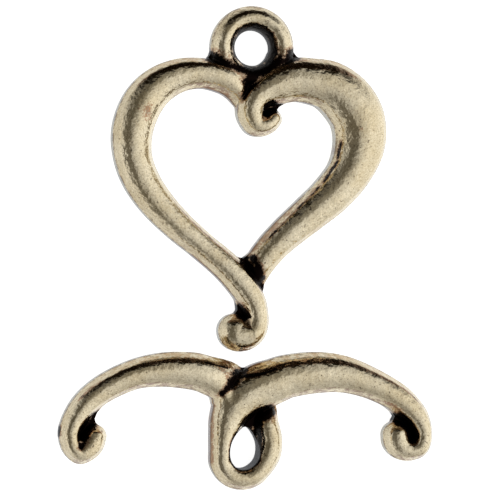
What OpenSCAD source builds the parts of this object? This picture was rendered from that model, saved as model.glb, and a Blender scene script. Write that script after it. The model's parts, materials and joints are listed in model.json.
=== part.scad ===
// Heart toggle clasp: an open heart with a hanging eye, and the scrolled bar that passes through it.
// Both are solid castings that lie flat on their backs, face up, on the plane z = 0.
// The heart lies above the bar, +Y, and the middle of both together is over the origin.

/* [Heart] */
// Thickness of the heart at its heaviest stroke, back to crown
heart_t = 2.7; // [2.4:0.1:3]
// Diameter of the hole in the hanging eye
eye_hole_d = 2.08; // [1.9:0.02:2.2]
// Outer diameter of the hanging eye
eye_d = 4.94; // [4.7:0.02:5.2]
// Thickness of the hanging eye
eye_t = 1.9; // [1.6:0.1:2.2]
// Height of the metal left low between the scrolls
web_t = 0.86; // [0.7:0.02:1.2]

/* [Bar] */
// Thickness of the bar at its heaviest stroke, back to crown
bar_t = 2.5; // [2.2:0.1:2.8]

/* [Strokes] */
// How far the shoulder stands in from the parting line
draft = 0.28; // [0.2:0.02:0.34]
// Height of the parting line, as a share of the stroke's height
parting = 0.5; // [0.4:0.05:0.55]
// Height of the shoulder, as a share of the stroke's height
shoulder = 0.7; // [0.62:0.02:0.78]
// How far the flat of the back stands in from the parting line
back_inset = 0.14; // [0.1:0.02:0.3]
// Sections swept from one row of a table to the next
steps = 3; // [2:1:6]

/* [Hidden] */

metal = [0.68, 0.63, 0.5];
round_fn = 24;
eye_fn = 48;
eye_at = [0.22, 11.76];
disc_low = 0.2;
disc_high = 0.5;
ledge_w = 0.03;
back_edge_z = 0.12;
back_edge_inset = 0.03;
crown_shares = [0.75, 0.4];
tight = 0.82;
full_half = 0.6;
far = 100;
straight = 0.0001;
centre_x = 0.07;
nose_steps = 10;
cut = 1;

// Strokes in plan. Columns: x and y of the middle, width at the parting line, height of the crown.
// The left stroke dives under the scroll at the cleft, rounds the left lobe, crosses the point and curls.
LEFT_STROKE = [
    [-0.35, 8.8, 1.2, 1.1],
    [-0.8, 9.45, 1.55, 1.7],
    [-1.5, 9.95, 1.75, 2.15],
    [-2.8, 10.23, 1.8, 2.3],
    [-4.22, 10.07, 2, 2.4],
    [-5.5, 9.4, 2.25, 2.45],
    [-6.4, 8.3, 2.4, 2.5],
    [-6.9, 6.85, 2.38, 2.5],
    [-6.87, 5.35, 2.22, 2.45],
    [-6.38, 3.98, 2.14, 2.4],
    [-5.44, 2.61, 2, 2.3],
    [-4.18, 1.31, 1.82, 2.25],
    [-2.78, 0.12, 1.68, 2.2],
    [-1.42, -1.02, 1.72, 2.2],
    [-0.43, -2.12, 1.72, 2.2],
    [0.2, -3.1, 1.6, 2.2],
    [0.58, -3.95, 1.22, 2.2],
    [0.66, -4.6, 1.08, 2.2],
    [0.46, -5.08, 1.1, 2.2],
    [0, -5.38, 1.35, 2.15],
    [-0.5, -5.34, 1.6, 2.1],
    [-0.86, -4.98, 1.62, 2.1],
    [-0.86, -4.52, 1.44, 2.1],
];

// The right stroke rises from under the point, swells over the right lobe and ends in the curl at the cleft.
RIGHT_STROKE = [
    [0.15, -2.4, 1.4, 0.9],
    [0.35, -1.7, 1.6, 1.1],
    [0.75, -0.85, 1.75, 1.6],
    [1.5, 0.1, 1.85, 2.1],
    [2.5, 1.05, 2, 2.3],
    [3.75, 2.1, 2.2, 2.4],
    [5, 3.2, 2.4, 2.5],
    [6.07, 4.53, 2.6, 2.6],
    [6.65, 6.1, 3, 2.65],
    [6.56, 7.6, 3.16, 2.7],
    [5.88, 8.75, 3.16, 2.7],
    [4.87, 9.55, 2.93, 2.65],
    [3.75, 9.83, 2.7, 2.6],
    [2.8, 9.9, 2.6, 2.55],
    [1.8, 9.65, 2.35, 2.5],
    [0.9, 9.25, 1.85, 2.4],
    [0.3, 8.7, 1.65, 2.35],
    [0.05, 8.1, 1.55, 2.3],
    [0.12, 7.6, 1.42, 2.2],
    [0.35, 7.18, 1.29, 2.15],
    [0.75, 7.08, 1.1, 2.15],
    [1.2, 7.25, 1.08, 2.1],
    [1.42, 7.56, 1.16, 2.05],
];

// The bar's left arm, from the dip at the middle out to its scroll.
LEFT_ARM = [
    [-0.65, -8, 1.9, 1.1],
    [-1.4, -7.7, 2.2, 1.8],
    [-2.45, -7.44, 2.22, 2.25],
    [-3.45, -7.2, 2.2, 2.35],
    [-5.05, -7.12, 2.02, 2.35],
    [-6.72, -7.37, 1.77, 2.3],
    [-8.4, -8.1, 1.65, 2.2],
    [-9.6, -9, 1.53, 2.15],
    [-10.34, -9.99, 1.3, 2.1],
    [-10.63, -10.8, 1.2, 2.1],
    [-10.5, -11.55, 1.15, 2.1],
    [-9.95, -12.02, 0.98, 2.05],
    [-9.35, -11.86, 1, 2.05],
    [-9.03, -11.4, 1.18, 2.05],
    [-8.97, -10.95, 1.16, 2],
];

// The eye and the right arm are one stroke: round the eye, up its left side and out to the right scroll.
RIGHT_ARM = [
    [1.32, -9.4, 0.7, 1.1],
    [1.4, -10.3, 1, 1.7],
    [1.34, -11.2, 1.42, 2],
    [1.19, -12.1, 1.52, 2.05],
    [0.8, -12.9, 1.35, 2.05],
    [0.25, -13.4, 1.33, 2.05],
    [-0.45, -13.57, 1.33, 2.05],
    [-1.15, -13.38, 1.3, 2.05],
    [-1.65, -12.75, 1.3, 2.05],
    [-1.73, -11.9, 1.18, 2.1],
    [-1.61, -11, 1.42, 2.15],
    [-1.55, -10.1, 1.55, 2.2],
    [-1.1, -9.25, 1.9, 2.3],
    [-0.3, -8.5, 2.2, 2.4],
    [0.66, -8.09, 2.34, 2.45],
    [1.55, -7.75, 2.55, 2.5],
    [2.4, -7.55, 2.55, 2.5],
    [4, -7.35, 2.45, 2.5],
    [5.6, -7.45, 2.2, 2.4],
    [7.24, -7.97, 1.9, 2.3],
    [8.73, -8.72, 1.73, 2.2],
    [9.5, -9.35, 1.65, 2.15],
    [10.15, -10.1, 1.5, 2.1],
    [10.45, -10.95, 1.28, 2.1],
    [10.35, -11.8, 1.25, 2.1],
    [9.8, -12.2, 1.12, 2.05],
    [9.15, -12.05, 1.3, 2.05],
    [8.87, -11.5, 1.2, 2.05],
    [8.9, -10.95, 1.2, 2],
];

// Domes that fill the inside of the tightest bends. Columns as for the strokes.
HEART_DOMES = [
    [0.95, 7.45, 0.7, 1.9],
    [0, -4.95, 0.9, 1.95],
];
BAR_DOMES = [
    [-9.9, -11.6, 0.5, 1.85],
    [9.65, -11.75, 0.5, 1.85],
];

// Low metal that closes the pockets between the strokes, outlines in plan.
CLEFT = [[-2.4, 11.2], [-2.15, 11.5], [2.75, 11.5], [3, 11.2], [1.5, 10], [0, 8.9], [-1, 9.8]];
CURL_POCKET = [[2.2, 8.55], [1.85, 8.3], [1.7, 8.1], [1.8, 7.9], [1.5, 7.3], [0.8, 7.1], [0.3, 7.5], [0.5, 8.5], [1.8, 9]];
POINT = [[-0.8, -0.5], [-0.3, -0.6], [0.05, -0.35], [0.4, -0.9], [-0.2, -1.2]];
POINT_SIDE = [[0.9, -1.8], [0.95, -2.2], [0.9, -2.5], [0.4, -2.6], [0.4, -1.8]];
TAIL_POCKET = [[-0.9, -2.75], [-0.75, -3], [-0.68, -3.4], [-0.65, -3.65], [-0.85, -3.9], [-0.9, -4.7], [-0.4, -5.2],
    [0.3, -5.1], [0.7, -4.6], [0.6, -4], [0, -3]];
LEFT_POCKET = [[-8.55, -9.1], [-8.95, -9.6], [-9.1, -9.95], [-9.05, -10.15], [-8.9, -10.4], [-9, -11], [-9.4, -11.8],
    [-10, -12], [-10.5, -11.4], [-10.4, -10]];
RIGHT_POCKET = [[8.1, -9.2], [8.7, -9.75], [8.85, -10], [8.7, -10.25], [8.7, -10.5], [8.8, -11.2], [9.3, -12],
    [9.9, -12.1], [10.4, -11.4], [10.1, -10]];
DIP = [[-0.95, -6.95], [-0.4, -6.92], [-0.1, -6.93], [0.3, -6.83], [0.6, -7.4], [-0.4, -7.8]];
ARMPIT = [[-2.6, -8.45], [-2.25, -8.65], [-2.15, -9.1], [-1.8, -9.6], [-1.4, -8.8]];
EYE_TOP = [[0, -9], [1.65, -9], [1.7, -9.6], [1.3, -11], [0.6, -11.6], [0.42, -11.3], [0.28, -10.98], [0.1, -10.7],
    [-0.1, -10.55], [-0.35, -10.56], [-0.65, -10.75], [-0.95, -11.1], [-1.4, -11.2]];

// Section of the hanging eye. Columns: share of the way from the hole to the rim, share of the eye's thickness.
EYE_SECTION = [
    [0.08, 0.08],
    [0.2, 0],
    [0.9, 0],
    [0.98, 0.06],
    [1, 0.5],
    [0.85, 0.8],
    [0.69, 0.94],
    [0.5, 1],
    [0.21, 0.88],
    [0.07, 0.7],
];

// A smooth curve through rows b and c of a table, with a and d as the rows before and after.
function between(a, b, c, d, t) =
    0.5 * (2 * b + (c - a) * t + (2 * a - 5 * b + 4 * c - d) * t * t + (3 * b - a - 3 * c + d) * t * t * t);

function row(table, i) =
    i < 0 ? 2 * table[0] - table[1]
    : i >= len(table) ? 2 * table[len(table) - 1] - table[len(table) - 2]
    : table[i];

function smooth(table) = concat(
    [for (i = [0 : len(table) - 2], k = [0 : steps - 1])
        between(row(table, i - 1), row(table, i), row(table, i + 1), row(table, i + 2), k / steps)],
    [table[len(table) - 1]]
);

function plan(s) = [s[0], s[1]];
function unit(v) = v / norm(v);
function left_of(v) = [-v[1], v[0]];
function turn(u, v) = u[0] * v[1] - u[1] * v[0];

// Right half of a stroke's section, from the back up to the shoulder and in over the crown.
function half_section(half, h) = let (
    k = min(1, half / full_half),
    ledge = half - k * draft
) concat(
    [
        [half - k * back_inset, 0],
        [half - k * back_edge_inset, back_edge_z],
        [half, parting * h],
        [ledge, shoulder * h],
    ],
    [for (u = crown_shares) [u * ledge, h - (1 - shoulder) * h * u * u]],
    [[0, h]]
);

// Both halves and the middle of the back. The halves differ where a bend leaves less room inside than outside.
function section(left, right, h) = let (
    r = half_section(right, h),
    l = half_section(left, h)
) concat(r, [for (i = [len(l) - 2 : -1 : 0]) [-l[i][0], l[i][1]]], [[0, 0]]);

// Distances from two rows next to each other to the point where their sections' lines meet, plus on the left.
function meeting(a, side_a, b, side_b) = let (c = turn(side_a, side_b))
    abs(c) < straight ? [far, far] : [turn(b - a, side_b) / c, turn(b - a, side_a) / c];

// Room on one side of a row before sections cross; way is 1 on the left and -1 on the right.
function room(meets, i, way) = tight * min([
    for (j = [max(i - 2, 0) : min(i + 1, len(meets) - 1)], m = meets[j]) m * way > 0 ? m * way : far
]);

// One closed solid along a table's smooth curve, with its last end rounded about the last row.
module stroke(table) {
    path = smooth(table);
    last = len(path) - 1;
    at = [for (s = path) plan(s)];
    side = [for (i = [0 : last]) left_of(unit(at[min(i + 1, last)] - at[max(i - 1, 0)]))];
    meets = [for (i = [0 : last - 1]) meeting(at[i], side[i], at[i + 1], side[i + 1])];
    halves = [for (i = [0 : last])
        [for (way = [1, -1]) min(path[i][2] / 2, i == last ? far : room(meets, i, way))]];
    rings = [for (i = [0 : last], p = section(halves[i][0], halves[i][1], path[i][3]))
        [at[i][0] - side[i][0] * p[0], at[i][1] - side[i][1] * p[0], p[1]]];
    n = len(rings) / len(path);
    side_n = n / 2;
    // Half sections turned about the last row, from its right side round to its left
    out = -left_of(side[last]);
    nose = [for (j = [1 : nose_steps - 1], p = half_section(path[last][2] / 2, path[last][3])) if (p[0] > 0)
        let (a = 180 * j / nose_steps, d = out * sin(a) - side[last] * cos(a))
            [at[last][0] + d[0] * p[0], at[last][1] + d[1] * p[0], p[1]]];
    first = last * n;
    apex = first + side_n - 1;
    middle = first + n - 1;
    fan = [for (j = [0 : nose_steps]) [for (k = [0 : side_n - 2])
        j == 0 ? first + k : j == nose_steps ? first + n - 2 - k : first + n + (j - 1) * (side_n - 1) + k]];
    polyhedron(
        points = concat(rings, nose),
        faces = concat(
            [[for (k = [n - 1 : -1 : 0]) k]],
            [for (i = [0 : last - 1], k = [0 : n - 1]) [i * n + k, i * n + (k + 1) % n, (i + 1) * n + k]],
            [for (i = [0 : last - 1], k = [0 : n - 1])
                [(i + 1) * n + k, i * n + (k + 1) % n, (i + 1) * n + (k + 1) % n]],
            [for (j = [0 : nose_steps - 1], k = [0 : side_n - 3]) [fan[j][k], fan[j][k + 1], fan[j + 1][k]]],
            [for (j = [0 : nose_steps - 1], k = [0 : side_n - 3]) [fan[j + 1][k], fan[j][k + 1], fan[j + 1][k + 1]]],
            [for (j = [0 : nose_steps - 1]) [fan[j][side_n - 2], apex, fan[j + 1][side_n - 2]]],
            [for (j = [0 : nose_steps - 1]) [fan[j][0], fan[j + 1][0], middle]]
        )
    );
}

// A stroke's section turned about one row of a table.
module dome(at) {
    translate([at[0], at[1], 0])
        rotate_extrude($fn = round_fn)
            polygon(concat([[0, 0]], half_section(at[2] / 2, at[3])));
}

module web(points) {
    linear_extrude(web_t)
        polygon(points);
}

// The hanging eye, filled by a thin disc that leaves a short straight wall when the hole is cut.
module eye_rim() {
    hole_r = eye_hole_d / 2;
    ring = eye_d / 2 - hole_r;
    translate([eye_at[0], eye_at[1], 0])
        rotate_extrude($fn = eye_fn)
            polygon(concat(
                [[0, disc_low * eye_t], [hole_r + ledge_w, disc_low * eye_t]],
                [for (p = EYE_SECTION) [hole_r + p[0] * ring, p[1] * eye_t]],
                [[hole_r + ledge_w, disc_high * eye_t], [0, disc_high * eye_t]]
            ));
}

module heart_strokes() {
    stroke(LEFT_STROKE);
    stroke(RIGHT_STROKE);
    eye_rim();
    for (at = HEART_DOMES)
        dome(at);
    web(CLEFT);
    web(CURL_POCKET);
    web(POINT);
    web(POINT_SIDE);
    web(TAIL_POCKET);
}

module heart_ring() {
    color(metal)
        translate([centre_x, 0, 0])
            difference() {
                resize([0, 0, heart_t])
                    heart_strokes();
                translate([eye_at[0], eye_at[1], -cut])
                    cylinder(d = eye_hole_d, h = heart_t + 2 * cut, $fn = eye_fn);
            }
}

module bar_strokes() {
    stroke(LEFT_ARM);
    stroke(RIGHT_ARM);
    for (at = BAR_DOMES)
        dome(at);
    web(LEFT_POCKET);
    web(RIGHT_POCKET);
    web(DIP);
    web(ARMPIT);
    web(EYE_TOP);
}

module toggle_bar() {
    color(metal)
        translate([centre_x, 0, 0])
            resize([0, 0, bar_t])
                bar_strokes();
}

heart_ring();
toggle_bar();
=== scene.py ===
"""Heart toggle clasp: an openwork heart with a hanging eye, and the scrolled bar that goes through it.

Both are solid castings with an antiqued brass finish, lying face up on a white table. Each visible casting
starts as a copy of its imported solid, gets a disc at each row of its strokes, is remeshed finely, and has its
skin pressed onto the smooth form of its strokes, webs and eye.
"""

import json
import math

import bpy
import numpy as np
from mathutils import Matrix

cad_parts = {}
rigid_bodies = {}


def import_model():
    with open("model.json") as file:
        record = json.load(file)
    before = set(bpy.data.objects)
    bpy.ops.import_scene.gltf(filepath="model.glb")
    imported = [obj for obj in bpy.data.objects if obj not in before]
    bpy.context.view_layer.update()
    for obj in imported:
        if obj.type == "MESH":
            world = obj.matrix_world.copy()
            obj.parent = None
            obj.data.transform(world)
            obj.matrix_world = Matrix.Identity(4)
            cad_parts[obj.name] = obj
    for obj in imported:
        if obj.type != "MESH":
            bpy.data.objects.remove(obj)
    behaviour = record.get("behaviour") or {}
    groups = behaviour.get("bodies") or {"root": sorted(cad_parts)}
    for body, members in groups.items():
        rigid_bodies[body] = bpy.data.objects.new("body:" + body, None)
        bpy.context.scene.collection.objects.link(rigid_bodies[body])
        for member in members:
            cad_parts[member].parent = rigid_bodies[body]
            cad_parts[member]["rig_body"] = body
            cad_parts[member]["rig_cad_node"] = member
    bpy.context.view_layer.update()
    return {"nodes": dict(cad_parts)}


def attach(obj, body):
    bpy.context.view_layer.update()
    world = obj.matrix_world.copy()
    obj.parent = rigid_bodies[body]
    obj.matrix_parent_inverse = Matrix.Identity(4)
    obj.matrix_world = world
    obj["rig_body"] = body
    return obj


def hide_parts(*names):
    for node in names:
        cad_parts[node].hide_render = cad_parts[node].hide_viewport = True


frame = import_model()

# Lengths in the tables and in the modelling are millimetres.
MM = 0.001

# Strokes in plan. Columns: x and y of the middle, width at the parting line, height of the crown.
# The left stroke comes from under the curl at the cleft, rounds the left lobe, crosses the point and ends
# in the tail's curl.
LEFT_STROKE = [
    [-0.33, 8.75, 1.25, 1.5],
    [-0.8, 9.45, 1.6, 1.95],
    [-1.5, 9.95, 1.8, 2.2],
    [-2.8, 10.23, 1.8, 2.3],
    [-4.22, 10.07, 2, 2.4],
    [-5.5, 9.4, 2.25, 2.45],
    [-6.4, 8.3, 2.4, 2.5],
    [-6.9, 6.85, 2.38, 2.5],
    [-6.87, 5.35, 2.22, 2.45],
    [-6.38, 3.98, 2.14, 2.4],
    [-5.44, 2.61, 2, 2.3],
    [-4.18, 1.31, 1.82, 2.25],
    [-2.78, 0.12, 1.68, 2.2],
    [-1.42, -1.02, 1.72, 2.2],
    [-0.43, -2.12, 1.72, 2.2],
    [0.2, -3.1, 1.6, 2.2],
    [0.43, -3.9, 1.5, 2.2],
    [0.42, -4.45, 1.54, 2.2],
    [0.25, -4.87, 1.6, 2.2],
    [-0.08, -5.13, 1.68, 2.2],
    [-0.45, -5.12, 1.94, 2.15],
    [-0.74, -5.02, 2.08, 2.15],
    [-0.84, -4.85, 2, 2.1],
]

# The right stroke comes from under the point, swells over the right lobe and ends in the curl at the cleft.
RIGHT_STROKE = [
    [0.15, -2.4, 1.4, 0.9],
    [0.35, -1.7, 1.6, 1.3],
    [0.75, -0.85, 1.75, 1.85],
    [1.5, 0.1, 1.85, 2.1],
    [2.5, 1.05, 2, 2.3],
    [3.75, 2.1, 2.2, 2.4],
    [5, 3.2, 2.4, 2.5],
    [6.07, 4.53, 2.6, 2.6],
    [6.65, 6.1, 3, 2.65],
    [6.56, 7.6, 3.16, 2.7],
    [5.88, 8.75, 3.16, 2.7],
    [4.87, 9.55, 2.93, 2.65],
    [3.75, 9.83, 2.7, 2.6],
    [2.8, 9.9, 2.6, 2.55],
    [1.8, 9.65, 2.35, 2.5],
    [0.9, 9.25, 1.85, 2.4],
    [0.3, 8.7, 1.65, 2.35],
    [0.11, 8.12, 1.68, 2.3],
    [0.2, 7.63, 1.58, 2.2],
    [0.41, 7.27, 1.42, 2.15],
    [0.79, 7.19, 1.28, 2.15],
    [1.19, 7.34, 1.2, 2.1],
    [1.42, 7.58, 1.16, 2.05],
]

# The bar's left arm, from the dip at the middle out to its scroll.
LEFT_ARM = [
    [-0.65, -8, 1.9, 1.1],
    [-1.4, -7.7, 2.2, 1.8],
    [-2.45, -7.44, 2.22, 2.25],
    [-3.45, -7.2, 2.2, 2.35],
    [-5.05, -7.12, 2.02, 2.35],
    [-6.72, -7.37, 1.77, 2.3],
    [-8.4, -8.1, 1.65, 2.2],
    [-9.6, -9, 1.53, 2.15],
    [-10.3, -9.97, 1.4, 2.1],
    [-10.58, -10.78, 1.3, 2.1],
    [-10.44, -11.5, 1.3, 2.1],
    [-10.04, -11.94, 1.28, 2.05],
    [-9.65, -11.76, 1.44, 2.05],
    [-9.34, -11.4, 1.56, 2.05],
    [-9.1, -10.98, 1.38, 2],
]

# The eye and the right arm are one stroke: round the eye, up its left side and out to the right scroll.
RIGHT_ARM = [
    [1.22, -9.4, 0.8, 1.2],
    [1.14, -9.85, 1.2, 1.6],
    [1.1, -10.4, 1.46, 1.9],
    [1.26, -11.25, 1.52, 2],
    [1.13, -12.1, 1.62, 2.05],
    [0.76, -12.8, 1.5, 2.05],
    [0.22, -13.33, 1.48, 2.05],
    [-0.45, -13.49, 1.48, 2.05],
    [-1.12, -13.28, 1.46, 2.05],
    [-1.58, -12.68, 1.42, 2.05],
    [-1.64, -11.9, 1.36, 2.1],
    [-1.52, -11, 1.6, 2.15],
    [-1.28, -10.1, 2.02, 2.2],
    [-0.92, -9.38, 2.3, 2.3],
    [-0.2, -8.66, 2.5, 2.4],
    [0.67, -8.17, 2.78, 2.45],
    [1.55, -7.83, 2.65, 2.5],
    [2.4, -7.55, 2.55, 2.5],
    [4, -7.35, 2.45, 2.5],
    [5.6, -7.45, 2.2, 2.4],
    [7.24, -7.97, 1.9, 2.3],
    [8.73, -8.72, 1.73, 2.2],
    [9.5, -9.35, 1.65, 2.15],
    [10.15, -10.1, 1.5, 2.1],
    [10.45, -10.95, 1.28, 2.1],
    [10.3, -11.72, 1.32, 2.1],
    [9.8, -11.97, 1.32, 2.05],
    [9.27, -11.85, 1.5, 2.05],
    [8.98, -11.5, 1.68, 2.05],
    [8.9, -11.1, 1.64, 2],
]

# Short strokes that fill the corner between the left arm and the eye, and between the tail and its curl.
ARM_JOIN = [
    [-2.3, -7.7, 1.9, 2.15],
    [-1.55, -8.35, 1.6, 2.1],
    [-1.28, -9.2, 1.65, 2.1],
    [-1.3, -9.9, 1.6, 2.1],
]
TAIL_JOIN = [
    [-0.35, -4.95, 1.3, 2.15],
    [0.15, -4.95, 1.3, 2.2],
]

# Outlines in plan of the webs, the low metal that closes the pockets between the strokes.
CLEFT = [[-2.4, 11.2], [-2.15, 11.5], [2.75, 11.5], [3, 11.2], [1.5, 10], [0, 8.9], [-1, 9.8]]
CURL_POCKET = [[2.2, 8.55], [1.85, 8.3], [1.7, 8.1], [1.8, 7.9], [1.5, 7.3], [0.8, 7.1], [0.3, 7.5],
    [0.5, 8.5], [1.8, 9]]
POINT = [[-0.8, -0.5], [-0.3, -0.6], [0.05, -0.35], [0.4, -0.9], [-0.2, -1.2]]
POINT_SIDE = [[0.9, -1.8], [0.95, -2.2], [0.9, -2.5], [0.4, -2.6], [0.4, -1.8]]
TAIL_POCKET = [[-0.9, -2.75], [-0.75, -3], [-0.68, -3.4], [-0.65, -3.65], [-0.85, -3.9], [-0.9, -4.7],
    [-0.4, -5.2], [0.3, -5.1], [0.7, -4.6], [0.6, -4], [0, -3]]
LEFT_POCKET = [[-8.55, -9.1], [-8.95, -9.6], [-9.1, -9.95], [-9.05, -10.15], [-8.9, -10.4], [-9, -11],
    [-9.4, -11.8], [-10, -12], [-10.5, -11.4], [-10.4, -10]]
RIGHT_POCKET = [[8.1, -9.2], [8.7, -9.75], [8.85, -10], [8.7, -10.25], [8.7, -10.5], [8.8, -11.2],
    [9.3, -12], [9.9, -12.1], [10.4, -11.4], [10.1, -10]]
DIP = [[-0.95, -7.1], [-0.4, -7.08], [-0.1, -7.09], [0.2, -7], [0.5, -7.4], [-0.4, -7.8]]
ARMPIT = [[-2.6, -8.45], [-2.25, -8.65], [-2.15, -9.1], [-1.8, -9.6], [-1.4, -8.8]]
EYE_TOP = [[0, -9], [1.65, -9], [1.7, -9.6], [1.3, -11.2], [0.9, -12], [0, -11.6], [-1.4, -11.2]]

# The bar's eye is cut through to this rounded outline.
BAR_HOLE = [[-0.1, -10.53], [0.36, -11.05], [0.57, -11.75], [0.4, -12.5], [-0.2, -12.95], [-0.85, -12.85],
    [-1.23, -12.2], [-1.17, -11.4], [-0.7, -10.78]]

# What each casting is made of.
HEART_STROKES = [LEFT_STROKE, RIGHT_STROKE, TAIL_JOIN]
HEART_WEBS = [CLEFT, CURL_POCKET, POINT, POINT_SIDE, TAIL_POCKET]
BAR_STROKES = [LEFT_ARM, RIGHT_ARM, ARM_JOIN]
BAR_WEBS = [LEFT_POCKET, RIGHT_POCKET, DIP, ARMPIT, EYE_TOP]

# Where the dark patina was left when the castings were polished: around these lines in plan.
# Columns: x and y of one end, x and y of the other, reach to each side, height up to which it fills.
HEART_PATINA = [
    # Both feet of the hanging eye
    [-2.4, 11.25, -1.45, 10.7, 0.4, 2.3],
    [-1.45, 10.7, -0.3, 10.25, 0.3, 2.3],
    [2.6, 11.3, 0.2, 10.15, 0.45, 2.3],
    # Down the cleft
    [0.05, 10.2, -0.05, 9.75, 0.4, 2.6],
    [-0.05, 9.75, -0.14, 9.3, 0.26, 2.4],
    [-0.14, 9.3, -0.36, 8.75, 0.13, 2.3],
    # Below and round the hanging eye's hole
    [0.05, 10.3, 1, 10.4, 0.6, 2.3],
    [-0.92, 12, -0.45, 12.75, 0.2, 2.4],
    [-0.45, 12.75, 0.4, 12.95, 0.16, 2.4],
    [0.4, 12.95, 1.2, 12.5, 0.17, 2.4],
    [1.2, 12.5, 1.42, 11.6, 0.19, 2.4],
    [1.42, 11.6, 1.1, 10.8, 0.28, 2.4],
    [-0.92, 12, -0.82, 11.3, 0.2, 2.4],
    [-0.82, 11.3, -0.15, 10.7, 0.18, 2.4],
    # Inside the curl at the cleft
    [0.85, 7.8, 1.9, 8.35, 0.22, 1.9],
    # Where the strokes cross at the point
    [-0.4, -0.45, 0.75, -2.3, 0.24, 2.1],
    [0.15, -0.6, 0.75, -1.8, 0.22, 2.4],
    # Inside the tail's curl
    [-0.5, -3.55, -0.2, -4.5, 0.32, 2],
    [-0.7, -4.1, -1.1, -4.3, 0.08, 2],
    # Along the right stroke's inner side
    [5.42, 6.3, 5.16, 5.1, 0.08, 2.2],
    [5.16, 5.1, 4.32, 3.8, 0.08, 2.3],
    [4.32, 3.8, 3.24, 2.75, 0.08, 2.2],
    [3.24, 2.75, 1.1, 0.6, 0.07, 2.2],
]
BAR_PATINA = [
    # Inside the left scroll and the right scroll
    [-9.05, -9.75, -9.75, -11, 0.28, 1.8],
    [-9.75, -11, -10.08, -11.48, 0.22, 2.45],
    [8.85, -10.05, 9.75, -10.3, 0.3, 1.8],
    [9.75, -10.3, 9.8, -11.4, 0.2, 1.85],
    # Down the dip between the arms
    [-0.3, -7.16, -0.75, -7.4, 0.2, 2.7],
    [-0.75, -7.35, -1.2, -7.95, 0.3, 2.6],
    [-1.2, -7.95, -1.75, -8.5, 0.18, 2.6],
    # Along the arms' upper sides by the dip
    [-0.7, -7.55, 0.36, -7.42, 0.13, 2.7],
    [0.36, -7.42, 1.4, -7.1, 0.08, 2.7],
    [-2.8, -6.67, -1.4, -7.02, 0.06, 2.7],
    # Above and to the right of the eye's hole
    [-0.1, -10.35, 1.1, -9.6, 0.45, 2.2],
    [0.45, -10.9, 0.75, -10.3, 0.25, 1.9],
    [0.62, -11.4, 0.6, -10.8, 0.16, 1.9],
    # A chip on the left scroll's outer side
    [-11.25, -10.85, -11.2, -10.5, 0.2, 1.6],
]

# Where brown and orange stain shows most, mainly along lower edges. Columns as for the patina.
HEART_STAIN = [
    # Along the right stroke's inner side
    [2.4, 8.5, 4.1, 7.8, 0.12, 1.6],
    [4.1, 7.8, 5, 6.4, 0.12, 1.6],
    [5, 6.4, 5.3, 4.9, 0.12, 1.6],
    [5.3, 4.9, 4.8, 3.7, 0.12, 1.7],
    [4.8, 3.7, 3.09, 2.77, 0.16, 2.2],
    [3.09, 2.77, 1.91, 1.67, 0.2, 2.2],
    [1.91, 1.67, 0.95, 0.68, 0.24, 2.2],
    [0.95, 0.68, 0.1, -0.2, 0.24, 2.2],
    # Left of the cleft
    [-2.7, 9.5, -1.45, 9, 0.16, 1.9],
    [-1.45, 9, -0.8, 8.2, 0.2, 2],
    [-2.6, 9.9, -1.2, 9.6, 0.25, 2.3],
    [-0.95, 9.6, -0.45, 8.9, 0.35, 2.2],
    # On the tail and under its curl
    [0.1, -3.75, 0.15, -4.4, 0.14, 2.4],
    [-1.4, -5.3, -0.8, -5.9, 0.12, 1.7],
    [-0.8, -5.9, 0.1, -5.9, 0.12, 1.7],
    [0.1, -5.9, 0.8, -5.3, 0.12, 1.7],
    # Along the left stroke's outer side above the tail
    [-3.4, -0.45, -1.97, -1.65, 0.16, 1.7],
    [-1.97, -1.65, -0.8, -3.2, 0.16, 1.7],
    # A spot on each lobe
    [-6.29, 8.15, -6.27, 7.65, 0.4, 2.95],
    [6.42, 7.05, 6.5, 6.95, 0.14, 3.4],
]
BAR_STAIN = [
    # Along the left arm's lower side
    [-9.2, -9.25, -7.7, -8.55, 0.2, 1.6],
    [-7.7, -8.55, -5.9, -8.2, 0.14, 1.5],
    [-5.9, -8.2, -3.5, -8.15, 0.12, 1.5],
    [-3.5, -8.15, -2.05, -8.65, 0.16, 1.6],
    # Left of the dip, and along the upper sides by it
    [-1.9, -6.95, -1.4, -7.6, 0.3, 2.4],
    [-1.4, -7.6, -1.9, -8.6, 0.3, 2.2],
    [-0.5, -7.2, 0.8, -6.6, 0.14, 1.9],
    [-3.4, -6.35, -1.2, -6.8, 0.12, 1.8],
    # Along the right arm's lower side
    [2.15, -8.95, 3.95, -8.45, 0.16, 1.6],
    [3.95, -8.45, 5.75, -8.35, 0.12, 1.5],
    [5.75, -8.35, 7.5, -8.9, 0.14, 1.6],
    [7.5, -8.9, 8.1, -9.05, 0.16, 1.8],
    [8.1, -9.05, 9.15, -9.6, 0.22, 2.3],
    # Down the eye's left side, and at its upper right
    [-2.25, -9.2, -2.25, -12.5, 0.22, 1.9],
    [0.8, -10.1, 1.35, -9.6, 0.3, 2.3],
]
# A mark is at half strength at its reach. It fades over this many reaches to each side of that, and over
# this height below its top.
MARK_FADE = 1.3
MARK_TOP_FADE = 0.5
# Patina on the walls of the two through holes, and how far out from them it goes.
RIM_PATINA = 0.75
RIM_REACH = 0.3

# Section of the hanging eye. Columns: share of the way from hole to rim, share of the eye's thickness.
EYE_SECTION = [
    [0, 0.18],
    [0.05, 0.05],
    [0.2, 0],
    [0.9, 0],
    [0.98, 0.06],
    [1, 0.5],
    [0.85, 0.8],
    [0.69, 0.94],
    [0.5, 1],
    [0.26, 0.89],
    [0.08, 0.66],
    [0, 0.44],
]
EYE_AT = [0.22, 11.76]
EYE_HOLE_R = 1.04
EYE_RIM_R = 2.47
EYE_T = 1.9

# The tables measure x from a line this far right of the middle.
CENTRE_X = 0.07

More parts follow.
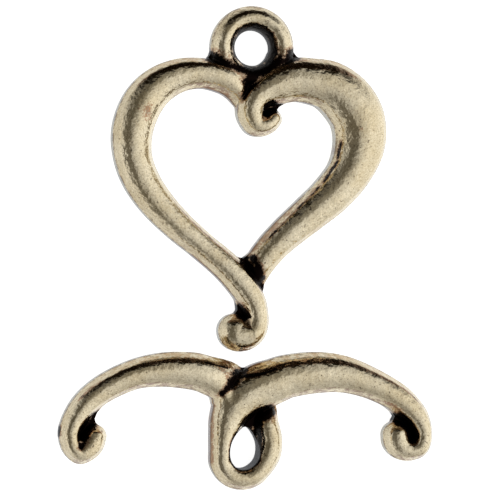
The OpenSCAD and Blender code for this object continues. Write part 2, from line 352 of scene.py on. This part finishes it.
# Section of a stroke: lean of the upper flank, the parting line's share of the height, the crown's rise as a
# share of its half width, and the least height of the upper flank.
DRAFT = 0.28
PARTING = 0.5
CROWN_RISE = 0.58
FLANK_LEAST = 0.1
# The bevel along the back, and the half width below which the leans and the bevel shrink with it.
BACK_INSET = 0.14
BACK_EDGE_Z = 0.12
BACK_EDGE_INSET = 0.03
FULL_HALF = 0.6
# Height of the webs, rounding of edges, and fillet where shapes meet.
WEB_T = 0.86
SOFT_EDGE = 0.05
FILLET = 0.14

# Steps from one row to the next along a stroke, the eye's section and the bar's hole.
STEPS = 16
RING_STEPS = 8
HOLE_STEPS = 5
# The discs that are laid at the rows: how much less wide and high than the stroke, and how far off the back.
DISC_SIDES = 24
DISC_INSET = 0.1
DISC_SHORT = 0.25
DISC_LIFT = 0.05
# Fineness of the mesh.
MERGE_REACH = 0.001
VOXEL = 0.045
MOST_TRIANGLES = 190000
# Presses onto the skin before and after the triangles are thinned out, the longest move of one press, the
# least slope squared that it divides by, and the step over which a slope is taken.
FIRST_PRESSES = 5
LAST_PRESSES = 2
LONGEST_MOVE = 0.08
LEAST_SLOPE_SQUARED = 0.2
PROBE = 0.002
# Nearest rows are sought for this many points at a time, and then tried at these strides along the stroke.
CHUNK = 20000
ROW_STRIDES = (4, 2, 1)
# Webs, the eye and the bar's hole don't matter beyond this distance.
FAR = 1.0
# How far out from the skin it is tested for room.
OCCLUSION_REACH = (0.12, 0.25, 0.5, 0.9)
# Divisors stay above these.
TINY = 1e-9
TINY_BEND = 1e-12

# The photograph's view.
VIEW_TILT = math.radians(10.5)
VIEW_DISTANCE = 180
VIEW_AT = (0.16, -0.12, 0.9)
PIXELS_PER_MM = 17
FRAME_PX = 500
SENSOR = 36
CLIP_START = 1

# The white table.
TABLE_SIZE = 3000
TABLE_GREY = 0.9
TABLE_ROUGHNESS = 0.9
TABLE_GLOW = 0.9

# Colours of the finish as they look on screen, 0 to 255.
PALE_BRASS = (222, 209, 180)
DULL_BRASS = (210, 194, 160)
SPECKLE_BROWN = (120, 100, 74)
GLINT = (244, 234, 206)
PIT_BROWN = (74, 56, 42)
# Amber and mauve are painted reflection tints for the steep sides that face up and down the picture.
PAINTED_AMBER_REFLECTION = (176, 130, 66)
PAINTED_MAUVE_REFLECTION = (126, 92, 84)
DARK_RUST = (112, 82, 64)
PALE_RUST = (164, 120, 88)
BLACK = (24, 18, 17)
SEAM_BROWN = (84, 60, 42)
SCREEN_GAMMA = 2.2

# Noises of the finish. Columns: features to the millimetre, detail, roughness of the noise.
BROAD_NOISE = [0.5, 3, 0.5]
MEDIUM_NOISE = [2.2, 4, 0.6]
FINE_NOISE = [9, 4, 0.65]
PIT_NOISE = [5, 3, 0.6]
DENT_NOISE = [2.6, 2, 0.5]
NOISE_MEAN = 0.5

# Masks of the finish. Columns: the value at which a mask is 0, the value at which it is 1.
DULL_MASK = [0.35, 0.7]
SPECKLE_MASK = [0.53, 0.66]
GLINT_MASK = [0.47, 0.38]
PIT_MASK = [0.64, 0.7]
PATCH_MASK = [0.4, 0.6]
# The side masks pick the steep sides that face up and down the picture, for the painted reflection tints.
UPPER_SIDE_PAINTED_REFLECTION_MASK = [0.72, 0.95]
LOWER_SIDE_PAINTED_REFLECTION_MASK = [-0.66, -0.92]
# The crest masks pick the dark line along the crowns' upper sides, partly patina and partly painted dark
# reflection.
CREST_FACING_MASK = [0.18, 0.04]
CREST_LEVEL_MASK = [0.7, 0.78]
BROWN_MASK = [0.16, 0.44]
STAIN_MASK = [0.42, 0.7]
BLACK_MASK = [0.4, 0.56]
RUST_MASK = [0.4, 0.6]
SEAM_MASK = [0.1, 0.02]
SEAM_BREAK_MASK = [0.42, 0.56]

# How much of each tone shows where its mask is 1.
SPECKLE_SHARE = 0.4
GLINT_SHARE = 0.35
PIT_SHARE = 0.8
# Shares of the painted reflection tints on the sides that face up and down the picture.
PAINTED_AMBER_SHARE = 0.5
PAINTED_MAUVE_SHARE = 0.65
RUST_SHARE = 0.8
SEAM_SHARE = 0.75

# Dirt from each of its causes. Columns: share of the cause, share of the noise that makes its edge ragged.
ENCLOSED_DIRT = [1.1, 0.4]
PATINA_DIRT = [1.1, 1.5]
STAIN_DIRT = [0.85, 1.6]
PATINA_LESS = 0.1
# A dark line along the upper sides of the crowns, where they face this far up the picture: partly patina in
# the shoulders' crease, partly a painted dark reflection.
CREST_FACING = 0.66
CREST_PATINA_AND_REFLECTION = 0.42
# How much a stain closes the gaps of the seam, which is the parting line's dark trace.
SEAM_STAIN = 0.2

# Roughness of the bare metal, and what each noise or mask adds to it.
BARE_ROUGHNESS = 0.08
MEDIUM_ROUGHNESS = 0.1
BLACK_ROUGHNESS = 0.3
SPECKLE_ROUGHNESS = 0.1
# Bumps. Columns: strength, height.
GRAIN_BUMP = [0.4, 0.01]
DENT_BUMP = [0.7, 0.09]

# What hangs about the table. Columns: bearing from +X towards +Y and angle from straight up, in degrees,
# half width and half height as sines, softness of the rim, and the light that it leaves of what is behind it.
DARK_CARDS = [
    [186, 52, 0.85, 0.34, 0.45, [0.3, 0.28, 0.24]],
    [92, 83, 0.76, 0.4, 0.3, [0.02, 0.014, 0.006]],
    [120, 42, 0.5, 0.45, 0.6, [0.45, 0.43, 0.38]],
    [100, 106, 0.7, 0.25, 0.5, [0.35, 0.33, 0.3]],
    [275, 105, 0.9, 0.4, 0.5, [0.85, 0.85, 0.85]],
    [0, 180, 0.38, 0.38, 0.5, [0.66, 0.71, 0.8]],
]
# Soft boxes add light. Columns as for the cards, with the light that each adds last.
SOFT_BOXES = [
    [352, 80, 0.72, 0.9, 0.5, [0.58, 0.58, 0.57]],
    [200, 98, 0.8, 0.38, 0.3, [0.34, 0.34, 0.34]],
    [0, 180, 0.85, 0.85, 0.4, [0.36, 0.35, 0.32]],
]
ROOM_LIGHT = 0.57
# Keeps a panel from showing on the opposite side too. A mask of the cosine from the panel's middle.
PANEL_FRONT = [0, 0.1]

# A Mix node's sockets for colours, by number.
MIX_FIRST = 6
MIX_SECOND = 7
MIX_RESULT = 2
WHITE = (1, 1, 1, 1)


def between(a, b, c, d, t):
    """A smooth curve through rows b and c, with a and d as the rows before and after."""
    double = 2 * b + (c - a) * t
    double = double + (2 * a - 5 * b + 4 * c - d) * t ** 2
    double = double + (3 * b - a - 3 * c + d) * t ** 3
    return 0.5 * double


def smooth_open(table, steps):
    """A table's rows with smoothly placed rows between them."""
    rows = np.array(table, float)
    rows = np.vstack([2 * rows[0] - rows[1], rows, 2 * rows[-1] - rows[-2]])
    t = (np.arange(steps) / steps)[:, None]
    parts = [between(*rows[i:i + 4], t) for i in range(len(rows) - 3)]
    return np.vstack(parts + [rows[-2:-1]])


def smooth_closed(table, steps):
    """The same for an outline that comes back to its first row."""
    rows = np.array(table, float)
    rows = np.vstack([rows[-1:], rows, rows[:2]])
    t = (np.arange(steps) / steps)[:, None]
    return np.vstack([between(*rows[i:i + 4], t) for i in range(len(rows) - 3)])


def both(a, b, soft):
    """Distance to what two shapes share, with the edge rounded."""
    return np.maximum(a, b) + np.maximum(soft - np.abs(a - b), 0) ** 2 / (4 * soft)


def either(a, b, soft):
    """Distance to two shapes joined, with a fillet where they meet."""
    return np.minimum(a, b) - np.maximum(soft - np.abs(a - b), 0) ** 2 / (4 * soft)


def stroke_section(out, z, half, tall):
    """Distance to a stroke's section: flat back, lower flank, drafted upper flank and domed crown."""
    shrink = np.minimum(1, half / FULL_HALF)
    ledge = half - DRAFT * shrink
    drop = CROWN_RISE * ledge
    part_z = PARTING * tall
    shoulder_z = np.maximum(tall - drop, part_z + FLANK_LEAST)
    rise = part_z - BACK_EDGE_Z
    lean = BACK_EDGE_INSET * shrink
    lower = ((out - half) * rise - (z - part_z) * lean) / np.hypot(rise, lean)
    rise = shoulder_z - part_z
    lean = DRAFT * shrink
    upper = ((out - half) * rise + (z - part_z) * lean) / np.hypot(rise, lean)
    share = out / ledge
    crown = (z - tall + drop * share ** 2) / np.sqrt(1 + (2 * drop * share / ledge) ** 2)
    lean = (BACK_INSET - BACK_EDGE_INSET) * shrink
    edge = (out - half + BACK_EDGE_INSET * shrink) * BACK_EDGE_Z - (z - BACK_EDGE_Z) * lean
    edge = edge / np.hypot(BACK_EDGE_Z, lean)
    side = both(both(lower, upper, SOFT_EDGE), crown, SOFT_EDGE)
    return both(both(side, edge, SOFT_EDGE), -z, SOFT_EDGE)


def outline_distance(x, y, outline):
    """Signed distance in a plane to a closed outline, less than 0 inside."""
    nearest = np.full(x.shape, np.inf)
    inside = np.zeros(x.shape, bool)
    points = np.asarray(outline, float)
    for (ax, ay), (bx, by) in zip(points, np.roll(points, -1, 0)):
        ex, ey = bx - ax, by - ay
        share = np.clip(((x - ax) * ex + (y - ay) * ey) / (ex * ex + ey * ey), 0, 1)
        nearest = np.minimum(nearest, np.hypot(x - ax - ex * share, y - ay - ey * share))
        if ay != by:
            inside ^= ((ay > y) != (by > y)) & (x < ax + (y - ay) * ex / ey)
    return np.where(inside, -nearest, nearest)


def near_outline(x, y, outline):
    """Which points lie in an outline's box or near it."""
    low, high = np.min(outline, 0) - FAR, np.max(outline, 0) + FAR
    return (x > low[0]) & (x < high[0]) & (y > low[1]) & (y < high[1])


class Stroke:
    """The solid that a domed section sweeps along a table's smooth curve."""

    def __init__(self, table):
        rows = smooth_open(table, STEPS)
        self.x = rows[:, 0] + CENTRE_X
        self.y = rows[:, 1]
        self.half = rows[:, 2] / 2
        self.tall = rows[:, 3]
        self.last = len(rows) - 1

    def at(self, p, row):
        """Distance from each point to the section at its row."""
        out = np.hypot(p[:, 0] - self.x[row], p[:, 1] - self.y[row])
        return stroke_section(out, p[:, 2], self.half[row], self.tall[row])

    def nearest_row(self, p):
        """The row whose section each point is deepest in or nearest to."""
        reach = self.x ** 2 + self.y ** 2 - self.half ** 2
        rows = np.empty(len(p), int)
        for i in range(0, len(p), CHUNK):
            q = p[i:i + CHUNK]
            rows[i:i + CHUNK] = (reach - 2 * (q[:, :1] * self.x + q[:, 1:2] * self.y)).argmin(1)
        here = self.at(p, rows)
        for stride in ROW_STRIDES:
            for way in (-stride, stride):
                other = np.clip(rows + way, 0, self.last)
                there = self.at(p, other)
                rows = np.where(there < here, other, rows)
                here = np.minimum(there, here)
        return rows

    def distance(self, p, row):
        """The least distance about the given row, on a parabola through it and its neighbours."""
        row = np.clip(row, 1, self.last - 1)
        here = self.at(p, row)
        before = self.at(p, row - 1)
        after = self.at(p, row + 1)
        bend = np.maximum(before - 2 * here + after, TINY_BEND)
        shift = np.clip((before - after) / (2 * bend), -1, 1)
        return here + shift * (after - before) / 2 + shift ** 2 * bend / 2


class Form:
    """The smooth shape of one casting: its strokes, webs and eye, joined with small fillets."""

    def __init__(self, strokes, webs, has_eye, hole=None):
        self.strokes = [Stroke(table) for table in strokes]
        self.webs = webs
        self.hole = None if hole is None else smooth_closed(hole, HOLE_STEPS)
        self.eye = None
        if has_eye:
            out, up = smooth_closed(EYE_SECTION, RING_STEPS).T
            self.eye = np.column_stack([EYE_HOLE_R + out * (EYE_RIM_R - EYE_HOLE_R), up * EYE_T])

    def nearest_rows(self, p):
        return [stroke.nearest_row(p) for stroke in self.strokes]

    def web_distance(self, x, y, z, outline):
        """Distance to a web, or FAR where it can't matter."""
        near = near_outline(x, y, outline)
        distance = np.full(len(x), FAR)
        web = both(outline_distance(x[near], y[near], outline), z[near] - WEB_T, SOFT_EDGE)
        distance[near] = both(web, -z[near], SOFT_EDGE)
        return distance

    def distance(self, p, rows):
        """Distance to the casting's skin, less than 0 inside."""
        x, y, z = p[:, 0] - CENTRE_X, p[:, 1], p[:, 2]
        total = self.strokes[0].distance(p, rows[0])
        for stroke, row in zip(self.strokes[1:], rows[1:]):
            total = either(total, stroke.distance(p, row), FILLET)
        for outline in self.webs:
            total = either(total, self.web_distance(x, y, z, outline), FILLET)
        if self.eye is not None:
            out = np.hypot(x - EYE_AT[0], y - EYE_AT[1])
            near = out < EYE_RIM_R + FAR
            ring = np.full(len(x), FAR)
            ring[near] = outline_distance(out[near], z[near], self.eye)
            total = both(either(total, ring, FILLET), EYE_HOLE_R - out, SOFT_EDGE)
        if self.hole is not None:
            near = near_outline(x, y, self.hole)
            total[near] = both(total[near], -outline_distance(x[near], y[near], self.hole), SOFT_EDGE)
        return total

    def hole_rim(self, p):
        """The patina on the wall of a through hole, none from a little way outside it."""
        x, y = p[:, 0] - CENTRE_X, p[:, 1]
        out = np.full(len(p), FAR)
        if self.eye is not None:
            out = np.hypot(x - EYE_AT[0], y - EYE_AT[1]) - EYE_HOLE_R
        if self.hole is not None:
            out = outline_distance(x, y, self.hole)
        return RIM_PATINA * np.clip(1 - out / RIM_REACH, 0, 1)

    def slope(self, p, rows, here):
        """How fast the distance grows along x, y and z."""
        grown = [self.distance(p + PROBE * np.eye(3)[axis], rows) - here for axis in range(3)]
        return np.column_stack(grown) / PROBE

    def press(self, p, rounds):
        """The points moved onto the skin, none below the back."""
        rows = self.nearest_rows(p)
        for _ in range(rounds):
            here = self.distance(p, rows)
            slope = self.slope(p, rows, here)
            move = here[:, None] * slope / np.maximum((slope ** 2).sum(1), LEAST_SLOPE_SQUARED)[:, None]
            size = np.linalg.norm(move, axis=1)[:, None]
            p = p - move * np.minimum(1, LONGEST_MOVE / np.maximum(size, TINY))
            p[:, 2] = np.maximum(p[:, 2], 0)
        return p

    def occlusion(self, p, normals):
        """How enclosed each point of the skin is, from 0 in the open to 1 in a pocket."""
        shade = np.zeros(len(p))
        for reach in OCCLUSION_REACH:
            q = p + normals * reach
            room = self.distance(q, self.nearest_rows(q))
            shade += np.clip(1 - room / reach, 0, 1) / len(OCCLUSION_REACH)
        return shade

    def level(self, p):
        """Height of each point as a share of its stroke's height."""
        rows = self.nearest_rows(p)
        near = [stroke.at(p, row) for stroke, row in zip(self.strokes, rows)]
        tall = [stroke.tall[row] for stroke, row in zip(self.strokes, rows)]
        return p[:, 2] / np.choose(np.argmin(near, axis=0), tall)


def marks(p, lines):
    """How strong the marks along lines in plan are: less away from the lines and towards each mark's top."""
    share = np.zeros(len(p))
    for ax, ay, bx, by, reach, top in lines:
        x, y = p[:, 0] - CENTRE_X - ax, p[:, 1] - ay
        ex, ey = bx - ax, by - ay
        along = np.clip((x * ex + y * ey) / (ex * ex + ey * ey), 0, 1)
        out = np.hypot(x - ex * along, y - ey * along) / reach
        beside = np.clip((MARK_FADE + 1 - out) / MARK_FADE / 2, 0, 1)
        below = np.clip((top - p[:, 2]) / MARK_TOP_FADE, 0, 1)
        share = np.maximum(share, beside * below)
    return share


def select_only(thing):
    bpy.ops.object.select_all(action="DESELECT")
    thing.select_set(True)
    bpy.context.view_layer.objects.active = thing


def apply_modifier(thing, kind, **settings):
    select_only(thing)
    bpy.ops.object.modifier_add(type=kind)
    modifier = thing.modifiers[-1]
    for name, value in settings.items():
        setattr(modifier, name, value)
    bpy.ops.object.modifier_apply(modifier=modifier.name)


def vertex_places(thing):
    places = np.empty(len(thing.data.vertices) * 3)
    thing.data.vertices.foreach_get("co", places)
    return places.reshape(-1, 3)


def set_vertex_places(thing, places):
    thing.data.vertices.foreach_set("co", places.ravel())
    thing.data.update()


def add_attribute(thing, name, values):
    layer = thing.data.attributes.new(name, "FLOAT", "POINT")
    layer.data.foreach_set("value", values.astype(np.float32))


def lay_disc(x, y, width, tall):
    """A disc nearly as wide and as tall as a stroke is at one row of its table."""
    height = tall - DISC_SHORT
    bpy.ops.mesh.primitive_cylinder_add(
        vertices=DISC_SIDES,
        radius=width / 2 - DISC_INSET,
        depth=height,
        location=(x + CENTRE_X, y, height / 2 + DISC_LIFT),
    )


def copied_node(node, name):
    """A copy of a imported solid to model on, in millimetres."""
    select_only(frame["nodes"][node])
    bpy.ops.object.duplicate()
    piece = bpy.context.view_layer.objects.active
    piece.name = name
    piece.data.name = name
    piece.parent = None
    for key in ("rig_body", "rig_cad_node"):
        if key in piece:
            del piece[key]
    piece.data.transform(Matrix.Scale(1 / MM, 4))
    return piece


def note_finish(piece, form, places, patina, stain):
    """Keeps at each vertex what the metal's material reads there."""
    rows = form.nearest_rows(places)
    slope = form.slope(places, rows, form.distance(places, rows))
    normals = slope / np.maximum(np.linalg.norm(slope, axis=1), TINY)[:, None]
    add_attribute(piece, "enclosed", form.occlusion(places, normals))
    add_attribute(piece, "patina", np.maximum(marks(places, patina), form.hole_rim(places)))
    add_attribute(piece, "stain", marks(places, stain))
    add_attribute(piece, "level", form.level(places))
    add_attribute(piece, "facing", normals[:, 1])


def cast(node, name, strokes, form, patina, stain):
    """A casting's visible piece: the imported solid's copy, remeshed and pressed onto its smooth form."""
    piece = copied_node(node, name)
    bpy.ops.object.mode_set(mode="EDIT")
    bpy.ops.mesh.select_all(action="SELECT")
    bpy.ops.mesh.remove_doubles(threshold=MERGE_REACH)
    for table in strokes:
        for row in table:
            lay_disc(*row)
    bpy.ops.object.mode_set(mode="OBJECT")
    apply_modifier(piece, "REMESH", mode="VOXEL", voxel_size=VOXEL)
    set_vertex_places(piece, form.press(vertex_places(piece), FIRST_PRESSES))
    apply_modifier(piece, "TRIANGULATE")
    keep = MOST_TRIANGLES / len(piece.data.polygons)
    if keep < 1:
        apply_modifier(piece, "DECIMATE", ratio=keep)
    places = form.press(vertex_places(piece), LAST_PRESSES)
    set_vertex_places(piece, places)
    note_finish(piece, form, places, patina, stain)
    piece.data.transform(Matrix.Scale(MM, 4))
    select_only(piece)
    bpy.ops.object.shade_smooth()
    return piece


class Socket:
    """A shader value that takes part in Python expressions."""

    def __init__(self, tree, link):
        self.tree = tree
        self.link = link

    def node(self, kind, settings=None, values=None, output=0):
        return Nodes(self.tree).add(kind, settings, values, output)

    def math(self, operation, *others):
        return self.node("ShaderNodeMath", {"operation": operation}, dict(enumerate((self,) + others)))

    def __add__(self, other):
        return self.math("ADD", other)

    __radd__ = __add__

    def __sub__(self, other):
        return self.math("SUBTRACT", other)

    def __rsub__(self, other):
        return self.node("ShaderNodeMath", {"operation": "SUBTRACT"}, {0: other, 1: self})

    def __mul__(self, other):
        return self.math("MULTIPLY", other)

    __rmul__ = __mul__

    def __pow__(self, other):
        return self.math("POWER", other)

    def most(self, other):
        """The greater of the two."""
        return self.math("MAXIMUM", other)

    def size(self):
        """The value without its sign."""
        return self.math("ABSOLUTE")

    def from_to(self, low, high):
        """0 at low, 1 at high, smooth between; low may be the greater."""
        return self.node(
            "ShaderNodeMapRange",
            {"interpolation_type": "SMOOTHSTEP", "clamp": True},
            {"Value": self, "From Min": low, "From Max": high, "To Min": 0, "To Max": 1},
        )


class Nodes:
    """Adds nodes to a tree: settings first, then the values or links of the sockets."""

    def __init__(self, tree):
        self.tree = tree

    def add(self, kind, settings=None, values=None, output=0):
        node = self.tree.nodes.new(kind)
        for name, value in (settings or {}).items():
            setattr(node, name, value)
        for name, value in (values or {}).items():
            if isinstance(value, Socket):
                self.tree.links.new(value.link, node.inputs[name])
            else:
                node.inputs[name].default_value = value
        return Socket(self.tree, node.outputs[output]) if node.outputs else None

    def attribute(self, name):
        """A value that the mesh keeps at its vertices."""
        return self.add("ShaderNodeAttribute", {"attribute_name": name}, None, "Fac")

    def mix(self, share, first, second, blend="MIX"):
        """The first colour, blended with the second by share."""
        settings = {"data_type": "RGBA", "blend_type": blend, "clamp_factor": True}
        values = {"Factor": share, MIX_FIRST: first, MIX_SECOND: second}
        return self.add("ShaderNodeMix", settings, values, MIX_RESULT)

    def noise(self, place, per_mm, detail, roughness):
        values = {"Vector": place, "Scale": per_mm / MM, "Detail": detail, "Roughness": roughness}
        return self.add("ShaderNodeTexNoise", None, values)

    def bump(self, height, strength, rise, normal=None):
        """A normal bent by a height of up to rise millimetres, on top of another normal if one is given."""
        values = {"Strength": strength, "Distance": rise * MM, "Height": height}
        if normal:
            values["Normal"] = normal
        return self.add("ShaderNodeBump", None, values)


def colour(on_screen):
    """A colour as linear light."""
    return tuple((part / 255) ** SCREEN_GAMMA for part in on_screen) + (1,)


def soiled(cause, ragged, cause_share, ragged_share):
    """Dirt where there is a cause for it, with a ragged edge."""
    return cause * cause_share + ragged * ragged_share


def worn_brass(nodes, place, fine, speckle, patches, facing):
    """Colour of the polished metal: its tones, speckle, glints and pits, and painted reflection tints on the
    steep sides that face up and down the picture.
    """
    tone = nodes.noise(place, *BROAD_NOISE).from_to(*DULL_MASK)
    pits = nodes.noise(place, *PIT_NOISE).from_to(*PIT_MASK)
    # Painted reflection tints: amber on the sides facing up the picture, mauve on those facing down it.
    upper = facing.from_to(*UPPER_SIDE_PAINTED_REFLECTION_MASK) * patches
    lower = facing.from_to(*LOWER_SIDE_PAINTED_REFLECTION_MASK) * patches
    worn = nodes.mix(tone, colour(PALE_BRASS), colour(DULL_BRASS))
    worn = nodes.mix(speckle * SPECKLE_SHARE, worn, colour(SPECKLE_BROWN))
    worn = nodes.mix(fine.from_to(*GLINT_MASK) * GLINT_SHARE, worn, colour(GLINT))
    worn = nodes.mix(pits * PIT_SHARE, worn, colour(PIT_BROWN))
    worn = nodes.mix(upper * PAINTED_AMBER_SHARE, worn, colour(PAINTED_AMBER_REFLECTION))
    return nodes.mix(lower * PAINTED_MAUVE_SHARE, worn, colour(PAINTED_MAUVE_REFLECTION))


def antiqued_metal():
    """Worn brass, with black patina in its pockets, rust brown about that, a dark seam half way up, a dark
    line along the crowns' upper sides that is partly painted dark reflection, and painted reflection tints on
    the sides that face up and down the picture.
    """
    material = bpy.data.materials.new("antiqued_metal")
    material.use_nodes = True
    tree = material.node_tree
    tree.nodes.clear()
    nodes = Nodes(tree)
    place = nodes.add("ShaderNodeTexCoord", None, None, "Object")
    enclosed = nodes.attribute("enclosed")
    pooled = nodes.attribute("patina")
    stained = nodes.attribute("stain")
    level = nodes.attribute("level")
    facing = nodes.attribute("facing")
    medium = nodes.noise(place, *MEDIUM_NOISE)
    fine = nodes.noise(place, *FINE_NOISE)
    dents = nodes.noise(place, *DENT_NOISE)
    speckle = fine.from_to(*SPECKLE_MASK)
    mottle = (medium + fine) * 0.5
    ragged = mottle - NOISE_MEAN
    patches = (medium + ragged).from_to(*PATCH_MASK)
    # A dark line along the crowns' upper sides, partly patina in the crease and partly painted dark
    # reflection.
    crest_patina_and_reflection = (facing - CREST_FACING).size().from_to(*CREST_FACING_MASK) * level.from_to(*CREST_LEVEL_MASK)
    pocket = soiled(enclosed, ragged, *ENCLOSED_DIRT)
    pool = soiled(pooled, ragged, *PATINA_DIRT) - PATINA_LESS
    # Black and brown come from patina in pockets and pools, and from the crest's line, which is partly painted
    # dark reflection.
    patina_and_dark_reflection = pocket.most(pool).most(crest_patina_and_reflection * CREST_PATINA_AND_REFLECTION + ragged)
    black = patina_and_dark_reflection.from_to(*BLACK_MASK)
    brown = patina_and_dark_reflection.from_to(*BROWN_MASK).most(soiled(stained, ragged, *STAIN_DIRT).from_to(*STAIN_MASK))
    rust = nodes.mix(fine.from_to(*RUST_MASK), colour(DARK_RUST), colour(PALE_RUST))
    seam = (level - PARTING).size().from_to(*SEAM_MASK)
    seam = seam * (mottle + stained * SEAM_STAIN).from_to(*SEAM_BREAK_MASK) * SEAM_SHARE * (1 - black)
    metal = worn_brass(nodes, place, fine, speckle, patches, facing)
    metal = nodes.mix(brown * RUST_SHARE, metal, rust)
    metal = nodes.mix(black, metal, colour(BLACK))
    metal = nodes.mix(seam, metal, colour(SEAM_BROWN))
    roughness = BARE_ROUGHNESS + MEDIUM_ROUGHNESS * medium + BLACK_ROUGHNESS * black
    roughness = roughness + SPECKLE_ROUGHNESS * speckle
    grain = nodes.bump(fine, *GRAIN_BUMP)
    grain = nodes.bump(dents, *DENT_BUMP, grain)
    values = {"Base Color": metal, "Metallic": 1, "Roughness": roughness, "Normal": grain}
    shader = nodes.add("ShaderNodeBsdfPrincipled", None, values)
    nodes.add("ShaderNodeOutputMaterial", None, {"Surface": shader})
    return material


def table_top():
    """The white table, which glows so that it looks plain white, and which the metal doesn't mirror."""
    bpy.ops.object.select_all(action="DESELECT")
    bpy.ops.mesh.primitive_plane_add(size=TABLE_SIZE * MM)
    table = bpy.context.view_layer.objects.active
    table.name = "table_top"
    material = bpy.data.materials.new("white_table")
    material.use_nodes = True
    tree = material.node_tree
    tree.nodes.clear()
    nodes = Nodes(tree)
    values = {
        "Base Color": (TABLE_GREY, TABLE_GREY, TABLE_GREY, 1),
        "Roughness": TABLE_ROUGHNESS,
        "Emission Color": WHITE,
        "Emission Strength": TABLE_GLOW,
    }
    shader = nodes.add("ShaderNodeBsdfPrincipled", None, values)
    nodes.add("ShaderNodeOutputMaterial", None, {"Surface": shader})
    table.data.materials.append(material)
    table.visible_glossy = False


def panel(nodes, way, bearing, fall, width, height, soft):
    """1 in the directions that a soft-edged panel covers, 0 elsewhere."""
    bearing, fall = math.radians(bearing), math.radians(fall)
    across = (-math.sin(bearing), math.cos(bearing), 0)
    middle = (math.sin(fall) * math.cos(bearing), math.sin(fall) * math.sin(bearing), math.cos(fall))
    above = tuple(np.cross(middle, across))
    dots = []
    for axis, size in ((across, width), (above, height), (middle, 1)):
        values = {0: way, 1: tuple(part / size for part in axis)}
        dots.append(nodes.add("ShaderNodeVectorMath", {"operation": "DOT_PRODUCT"}, values, 1))
    sideways, upwards, ahead = dots
    far = (sideways * sideways + upwards * upwards) ** 0.5
    return far.from_to(1 + soft, 1 - soft) * ahead.from_to(*PANEL_FRONT)


def studio():
    """A grey room with soft boxes and dark cards for the metal to mirror. The camera sees it plain white."""
    world = bpy.data.worlds.new("studio")
    world.use_nodes = True
    bpy.context.scene.world = world
    tree = world.node_tree
    tree.nodes.clear()
    nodes = Nodes(tree)
    way = nodes.add("ShaderNodeTexCoord", None, None, "Generated")
    light = (ROOM_LIGHT, ROOM_LIGHT, ROOM_LIGHT, 1)
    for blend, panels in (("ADD", SOFT_BOXES), ("MULTIPLY", DARK_CARDS)):
        for *placing, tint in panels:
            light = nodes.mix(panel(nodes, way, *placing), light, (*tint, 1), blend)
    lit = nodes.add("ShaderNodeBackground", None, {"Color": light, "Strength": 1})
    plain = nodes.add("ShaderNodeBackground", None, {"Color": WHITE, "Strength": 1})
    seen = nodes.add("ShaderNodeLightPath", None, None, "Is Camera Ray")
    shown = nodes.add("ShaderNodeMixShader", None, {0: seen, 1: lit, 2: plain})
    nodes.add("ShaderNodeOutputWorld", None, {"Surface": shown})
    bpy.context.scene.view_settings.view_transform = "Standard"


def camera():
    """The photograph's view, tilted about the table's Y axis."""
    lens = bpy.data.cameras.new("camera")
    lens.sensor_width = SENSOR
    lens.lens = PIXELS_PER_MM * VIEW_DISTANCE * SENSOR / FRAME_PX
    lens.clip_start = CLIP_START * MM
    holder = bpy.data.objects.new("camera", lens)
    bpy.context.scene.collection.objects.link(holder)
    across = (math.cos(VIEW_TILT), 0, math.sin(VIEW_TILT))
    back = (-math.sin(VIEW_TILT), 0, math.cos(VIEW_TILT))
    at = [(p + VIEW_DISTANCE * b) * MM for p, b in zip(VIEW_AT, back)]
    rows = [
        (across[0], 0, back[0], at[0]),
        (across[1], 1, back[1], at[1]),
        (across[2], 0, back[2], at[2]),
        (0, 0, 0, 1),
    ]
    holder.matrix_world = Matrix(rows)
    bpy.context.scene.camera = holder


camera()
studio()
table_top()
brass = antiqued_metal()

heart = Form(HEART_STROKES, HEART_WEBS, has_eye=True)
bar = Form(BAR_STROKES, BAR_WEBS, has_eye=False, hole=BAR_HOLE)
castings = [
    ("heart_ring", "heart_casting", HEART_STROKES, heart, HEART_PATINA, HEART_STAIN),
    ("toggle_bar", "bar_casting", BAR_STROKES, bar, BAR_PATINA, BAR_STAIN),
]
for node, name, strokes, form, patina, stain in castings:
    piece = cast(node, name, strokes, form, patina, stain)
    piece.data.materials.clear()
    piece.data.materials.append(brass)
    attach(piece, "root")
    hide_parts(node)
